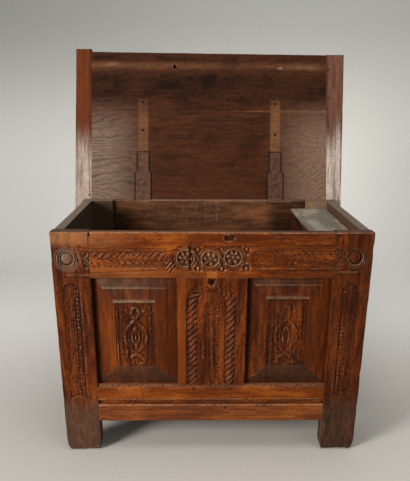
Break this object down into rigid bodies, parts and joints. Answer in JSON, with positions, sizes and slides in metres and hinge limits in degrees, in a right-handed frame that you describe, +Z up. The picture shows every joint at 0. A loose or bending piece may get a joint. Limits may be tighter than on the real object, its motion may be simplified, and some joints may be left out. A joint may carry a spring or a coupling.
{
  "type": "coffer chest",
  "caption": "Joined oak coffer with a carved panelled front, plank lid with end cleats leaning open on iron strap hinges, and a lidded till inside.",
  "frame": {"origin": "on the floor, under the middle of the outline of the chest as it stands with its lid open", "axes": "+X to the right of the carved front, +Y to the back, +Z up"},
  "size_m": [0.968, 0.6924, 1.2111],
  "materials": {
    "front_oak": "waxed, worn",
    "carcass_oak": "waxed, worn",
    "inside_oak": "bare, dusty",
    "lid_oak": "bare, darkened",
    "patch_oak": "waxed",
    "iron": "wrought, rusty brown"
  },
  "bodies": {
    "carcass": {"front_left_stile": "front_oak", "front_right_stile": "front_oak", "front_top_rail": "front_oak", "front_bottom_rail": "front_oak", "front_muntin": "front_oak", "front_left_panel": "front_oak", "front_right_panel": "front_oak", "back_left_stile": "carcass_oak", "back_right_stile": "carcass_oak", "back_top_rail": "carcass_oak", "back_bottom_rail": "carcass_oak", "back_muntin": "carcass_oak", "back_left_panel": "carcass_oak", "back_right_panel": "carcass_oak", "left_top_rail": "carcass_oak", "left_bottom_rail": "carcass_oak", "left_panel": "carcass_oak", "right_top_rail": "carcass_oak", "right_bottom_rail": "carcass_oak", "right_panel": "carcass_oak", "floor_board_left": "inside_oak", "floor_board_mid_left": "inside_oak", "floor_board_mid_right": "inside_oak", "floor_board_right": "inside_oak", "front_pegs": "front_oak", "back_pegs": "front_oak", "left_pegs": "front_oak", "right_pegs": "front_oak", "lock_patch": "patch_oak", "till_side": "inside_oak", "till_bottom": "inside_oak", "left_back_strap": "iron", "right_back_strap": "iron", "hinge_pins": "iron", "back_strap_nails": "iron"},
    "lid": {"lid_front_board": "lid_oak", "lid_back_board": "lid_oak", "lid_left_cleat": "lid_oak", "lid_right_cleat": "lid_oak", "lid_pegs": "lid_oak", "left_lid_strap": "iron", "right_lid_strap": "iron", "lid_strap_nails": "iron"},
    "till_lid": {"till_lid": "inside_oak"}
  },
  "joints": [
    {"name": "lid_hinge", "type": "hinge", "parent": "carcass", "child": "lid", "pos_m": [0, 0.15477, 0.7008], "axis": [1, 0, 0], "range_deg": [0, 108]},
    {"name": "till_lid_hinge", "type": "hinge", "parent": "carcass", "child": "till_lid", "pos_m": [0.409, -0.09873, 0.6755], "axis": [0, 1, 0], "range_deg": [0, 12]}
  ]
}
